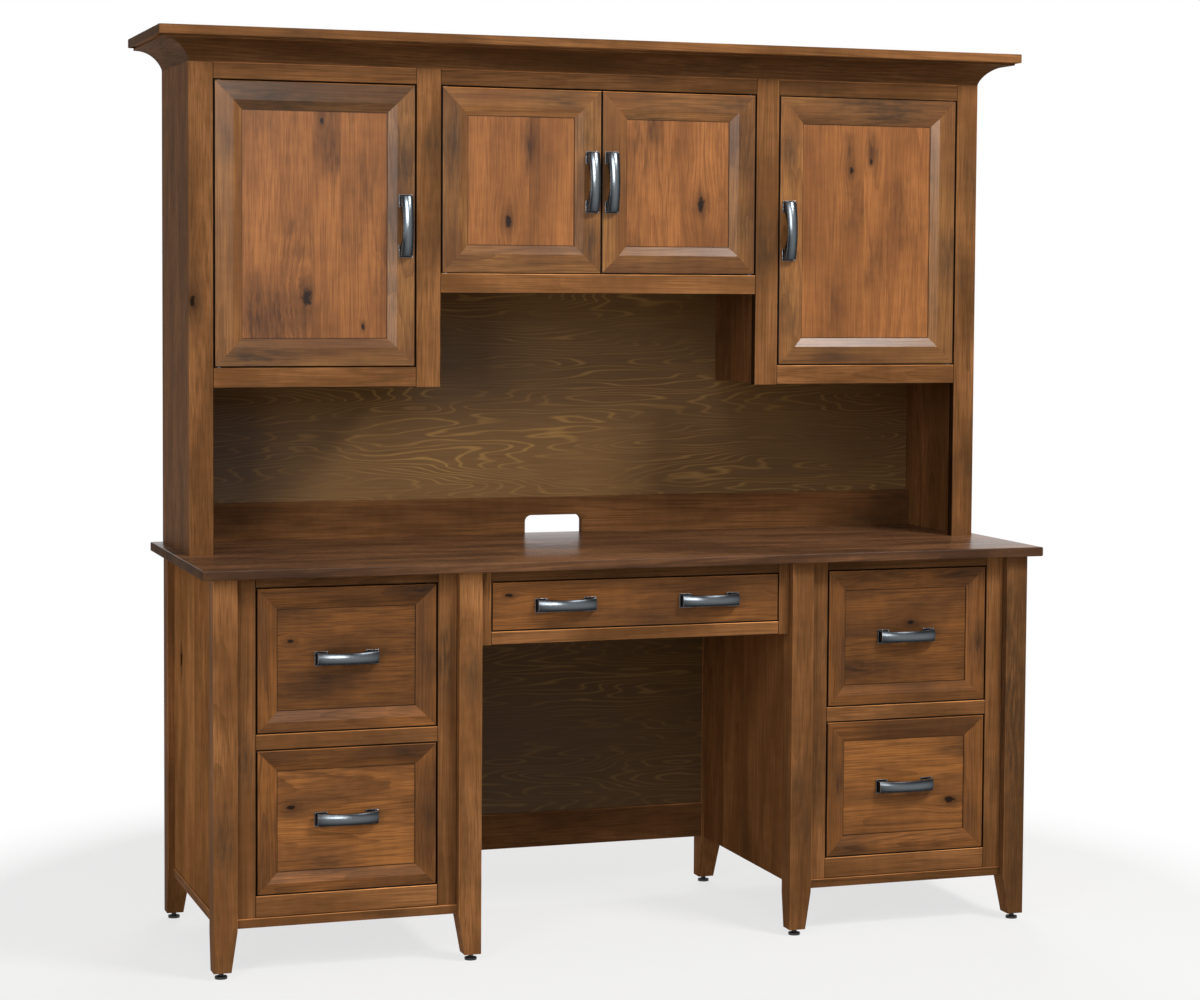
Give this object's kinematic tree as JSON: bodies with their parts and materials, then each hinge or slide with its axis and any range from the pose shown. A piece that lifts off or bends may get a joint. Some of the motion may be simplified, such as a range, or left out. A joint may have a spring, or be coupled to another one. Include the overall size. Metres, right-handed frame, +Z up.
{
  "type": "double pedestal desk with hutch",
  "caption": "Wooden desk on tapered legs with file drawer pedestals, a pencil drawer over the kneehole and a hutch with framed doors above an open bay and a cove cornice.",
  "frame": {"origin": "on the floor under the middle of the desk's overall box", "axes": "+X to the right seen from the front, +Y to the back, +Z up"},
  "size_m": [1.842, 0.59, 1.8165],
  "materials": {
    "top_wood": "red-brown stained hardwood boards under satin lacquer",
    "case_wood": "medium brown stained knotty hardwood under satin lacquer",
    "front_wood": "medium brown stained knotty hardwood under satin lacquer",
    "front_panel_wood": "lighter orange-brown stained knotty hardwood under satin lacquer",
    "plywood": "stained rotary-cut veneer under satin lacquer",
    "drawer_wood": "pale clear-finished hardwood",
    "slide_steel": "zinc-plated folded steel",
    "pin_steel": "bright steel",
    "pewter": "cast zinc plated in dark antique pewter",
    "black_plastic": "moulded black"
  },
  "bodies": {
    "root": {"desk_top": "top_wood", "pedestal_legs": "case_wood", "leg_levelers": "black_plastic", "pedestal_side_panels": "case_wood", "pedestal_face_frames": "case_wood", "base_mouldings": "case_wood", "pedestal_floor_panels": "plywood", "centre_drawer_frame": "case_wood", "modesty_rail": "case_wood", "base_back_panels": "plywood", "slide_cleats": "drawer_wood", "slide_cabinet_members": "slide_steel", "hutch_uprights": "case_wood", "hutch_shelves": "case_wood", "shelf_pins": "pin_steel", "hutch_top_panel": "case_wood", "hutch_floor_panels": "case_wood", "hutch_back_panel": "plywood", "hutch_back_rail": "case_wood", "door_pivot_pins": "pin_steel", "hutch_face_frame": "case_wood", "door_catches": "black_plastic", "cornice_cove": "case_wood", "cornice_board": "top_wood"},
    "left_door": {"left_door_frame": "front_wood", "left_door_panel": "front_panel_wood", "left_door_pull": "pewter"},
    "centre_left_door": {"centre_left_door_frame": "front_wood", "centre_left_door_panel": "front_panel_wood", "centre_left_door_pull": "pewter"},
    "centre_right_door": {"centre_right_door_frame": "front_wood", "centre_right_door_panel": "front_panel_wood", "centre_right_door_pull": "pewter"},
    "right_door": {"right_door_frame": "front_wood", "right_door_panel": "front_panel_wood", "right_door_pull": "pewter"},
    "left_upper_drawer": {"left_upper_drawer_front": "front_wood", "left_upper_drawer_box": "drawer_wood", "left_upper_drawer_pull": "pewter", "left_upper_drawer_slide_members": "slide_steel"},
    "left_upper_slide": {"left_upper_drawer_middle_members": "slide_steel"},
    "left_lower_drawer": {"left_lower_drawer_front": "front_wood", "left_lower_drawer_box": "drawer_wood", "left_lower_drawer_pull": "pewter", "left_lower_drawer_slide_members": "slide_steel"},
    "left_lower_slide": {"left_lower_drawer_middle_members": "slide_steel"},
    "right_upper_drawer": {"right_upper_drawer_front": "front_wood", "right_upper_drawer_box": "drawer_wood", "right_upper_drawer_pull": "pewter", "right_upper_drawer_slide_members": "slide_steel"},
    "right_upper_slide": {"right_upper_drawer_middle_members": "slide_steel"},
    "right_lower_drawer": {"right_lower_drawer_front": "front_wood", "right_lower_drawer_box": "drawer_wood", "right_lower_drawer_pull": "pewter", "right_lower_drawer_slide_members": "slide_steel"},
    "right_lower_slide": {"right_lower_drawer_middle_members": "slide_steel"},
    "centre_drawer": {"centre_drawer_front": "front_wood", "centre_drawer_box": "drawer_wood", "centre_drawer_pulls": "pewter", "centre_drawer_slide_members": "slide_steel"}
  },
  "joints": [
    {"name": "left_door_swing", "type": "hinge", "parent": "root", "child": "left_door", "pos_m": [-0.7918, -0.009, 1.436], "axis": [0, 0, -1], "range_deg": [0, 105]},
    {"name": "centre_left_door_swing", "type": "hinge", "parent": "root", "child": "centre_left_door", "pos_m": [-0.3298, -0.009, 1.5305], "axis": [0, 0, -1], "range_deg": [0, 105]},
    {"name": "centre_right_door_swing", "type": "hinge", "parent": "root", "child": "centre_right_door", "pos_m": [0.3298, -0.009, 1.5305], "axis": [0, 0, 1], "range_deg": [0, 105]},
    {"name": "right_door_swing", "type": "hinge", "parent": "root", "child": "right_door", "pos_m": [0.7918, -0.009, 1.436], "axis": [0, 0, 1], "range_deg": [0, 105]},
    {"name": "left_upper_drawer_run", "type": "slide", "parent": "root", "child": "left_upper_drawer", "axis": [0, -1, 0], "range_m": [0, 0.43]},
    {"name": "left_upper_slide_run", "type": "slide", "parent": "root", "child": "left_upper_slide", "axis": [0, -1, 0], "range_m": [0, 0.215]},
    {"name": "left_lower_drawer_run", "type": "slide", "parent": "root", "child": "left_lower_drawer", "axis": [0, -1, 0], "range_m": [0, 0.43]},
    {"name": "left_lower_slide_run", "type": "slide", "parent": "root", "child": "left_lower_slide", "axis": [0, -1, 0], "range_m": [0, 0.215]},
    {"name": "right_upper_drawer_run", "type": "slide", "parent": "root", "child": "right_upper_drawer", "axis": [0, -1, 0], "range_m": [0, 0.43]},
    {"name": "right_upper_slide_run", "type": "slide", "parent": "root", "child": "right_upper_slide", "axis": [0, -1, 0], "range_m": [0, 0.215]},
    {"name": "right_lower_drawer_run", "type": "slide", "parent": "root", "child": "right_lower_drawer", "axis": [0, -1, 0], "range_m": [0, 0.43]},
    {"name": "right_lower_slide_run", "type": "slide", "parent": "root", "child": "right_lower_slide", "axis": [0, -1, 0], "range_m": [0, 0.215]},
    {"name": "centre_drawer_run", "type": "slide", "parent": "root", "child": "centre_drawer", "axis": [0, -1, 0], "range_m": [0, 0.3]}
  ],
  "couplings": [
    {"joint": "left_upper_slide_run", "follows": "left_upper_drawer_run", "ratio": 0.5},
    {"joint": "left_lower_slide_run", "follows": "left_lower_drawer_run", "ratio": 0.5},
    {"joint": "right_upper_slide_run", "follows": "right_upper_drawer_run", "ratio": 0.5},
    {"joint": "right_lower_slide_run", "follows": "right_lower_drawer_run", "ratio": 0.5}
  ]
}
